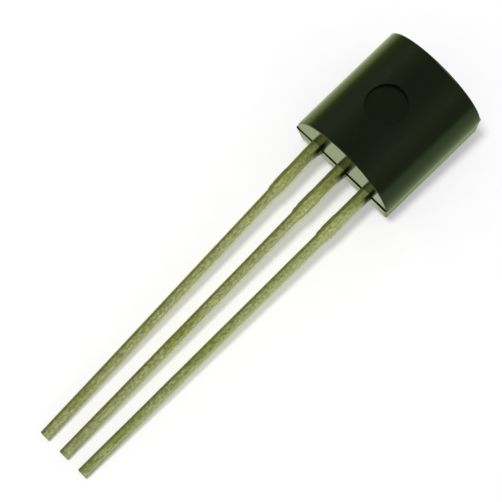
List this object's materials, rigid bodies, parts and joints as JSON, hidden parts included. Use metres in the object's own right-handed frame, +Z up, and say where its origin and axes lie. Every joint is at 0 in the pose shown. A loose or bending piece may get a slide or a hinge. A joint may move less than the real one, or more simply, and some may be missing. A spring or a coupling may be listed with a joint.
{
  "type": "three-lead transistor",
  "caption": "Small transistor in a black D-shaped epoxy moulding, round on one side and flat on the other, with a row of long tinned leads.",
  "frame": {"origin": "centre of the base of the box that holds the part as it lies, on the surface that it rests on", "axes": "+Y from the lead tips to the moulding, +X across the leads, +Z up; the leads and the flat slope 4.32 degrees from the surface"},
  "size_m": [0.0046, 0.0194, 0.0039],
  "materials": {
    "epoxy_black": "black moulded epoxy, satin",
    "tinned_lead": "dull tin plating",
    "silicon": "polished die",
    "gold_wire": "drawn gold wire"
  },
  "bodies": {
    "root": {"moulded_body": "epoxy_black", "left_lead": "tinned_lead", "middle_lead": "tinned_lead", "right_lead": "tinned_lead", "silicon_die": "silicon", "left_bond_wire": "gold_wire", "right_bond_wire": "gold_wire"}
  },
  "joints": []
}
